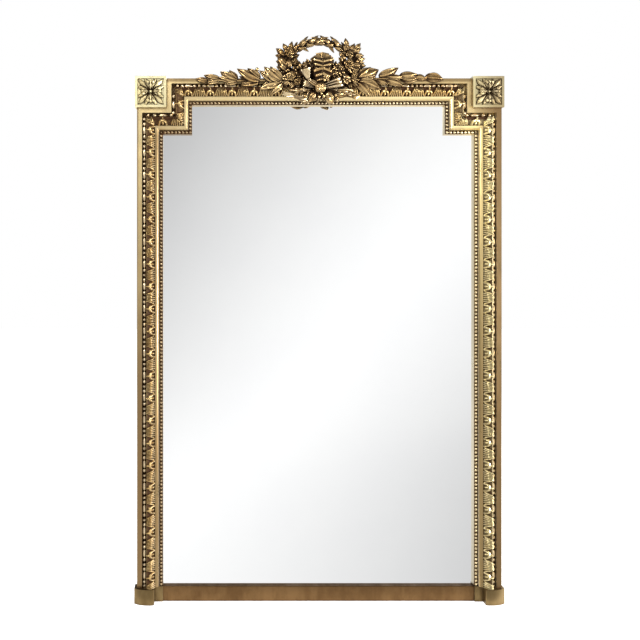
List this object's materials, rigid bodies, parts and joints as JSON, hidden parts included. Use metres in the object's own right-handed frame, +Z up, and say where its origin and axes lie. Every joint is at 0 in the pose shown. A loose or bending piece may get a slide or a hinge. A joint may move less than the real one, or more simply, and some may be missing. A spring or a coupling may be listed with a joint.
{
  "type": "overmantel mirror",
  "caption": "Tall gilt overmantel mirror with stepped upper corners, rosette blocks, carved mouldings, a rose wreath crest, a panelled back and swinging hanging rings.",
  "frame": {"origin": "middle of the carcass's lower back edge, where the wall plane meets the shelf", "axes": "+X to the right seen from the front, +Y into the wall, +Z up; the front faces -Y"},
  "size_m": [1.11, 0.1058, 1.7095],
  "materials": {
    "gilt_carving": "carved limewood and composition, water gilt over bole, worn and toned",
    "gilt_moulding": "gilt moulding with toned recesses",
    "gilt_plain": "plain bronze gold paint on wood",
    "mirror_glass": "silvered plate glass",
    "back_oak": "bare aged oak",
    "carcass_pine": "bare aged pine",
    "wrought_iron": "blackened iron",
    "screw_steel": "dulled steel"
  },
  "bodies": {
    "frame": {"angle_iron_left": "wrought_iron", "angle_iron_right": "wrought_iron", "arrow_feathers": "gilt_carving", "back_panel_lower": "back_oak", "back_panel_upper": "back_oak", "back_rail_bottom": "back_oak", "back_rail_middle": "back_oak", "back_rail_top": "back_oak", "back_screws": "screw_steel", "back_stile_left": "back_oak", "back_stile_right": "back_oak", "bead_and_reel_left": "gilt_carving", "bead_and_reel_right": "gilt_carving", "bead_and_reel_steps": "gilt_carving", "bead_and_reel_top": "gilt_carving", "carcass_rail_bottom": "carcass_pine", "carcass_rail_top": "carcass_pine", "carcass_stile_left": "carcass_pine", "carcass_stile_right": "carcass_pine", "corner_block_left": "gilt_moulding", "corner_block_right": "gilt_moulding", "crest_board": "carcass_pine", "crest_boss": "gilt_carving", "glazing_blocks": "carcass_pine", "hanging_plate_left": "wrought_iron", "hanging_plate_right": "wrought_iron", "iron_screws": "screw_steel", "laurel_spray_left": "gilt_carving", "laurel_spray_right": "gilt_carving", "leaf_moulding_left": "gilt_carving", "leaf_moulding_right": "gilt_carving", "leaf_moulding_steps": "gilt_carving", "leaf_moulding_top": "gilt_carving", "lower_rail": "gilt_plain", "mirror_glass": "mirror_glass", "moulding_stile_left": "gilt_moulding", "moulding_stile_right": "gilt_moulding", "moulding_top": "gilt_moulding", "patera_left": "gilt_carving", "patera_right": "gilt_carving", "pearl_beading_left": "gilt_carving", "pearl_beading_right": "gilt_carving", "pearl_beading_steps": "gilt_carving", "pearl_beading_top": "gilt_carving", "plate_screws": "screw_steel", "plinth_left": "gilt_plain", "plinth_right": "gilt_plain", "quiver": "gilt_carving", "ribbon_bow": "gilt_carving", "roses_left": "gilt_carving", "roses_right": "gilt_carving", "step_rail_left": "gilt_moulding", "step_rail_right": "gilt_moulding", "step_stile_left": "gilt_moulding", "step_stile_right": "gilt_moulding", "wreath": "gilt_carving"},
    "ring_left": {"hanging_ring_left": "wrought_iron"},
    "ring_right": {"hanging_ring_right": "wrought_iron"}
  },
  "joints": [
    {"name": "ring_left_swing", "type": "hinge", "parent": "frame", "child": "ring_left", "pos_m": [-0.52, 0.0041, 1.18], "axis": [1, 0, 0], "range_deg": [0, 180]},
    {"name": "ring_right_swing", "type": "hinge", "parent": "frame", "child": "ring_right", "pos_m": [0.52, 0.0041, 1.18], "axis": [1, 0, 0], "range_deg": [0, 180]}
  ]
}
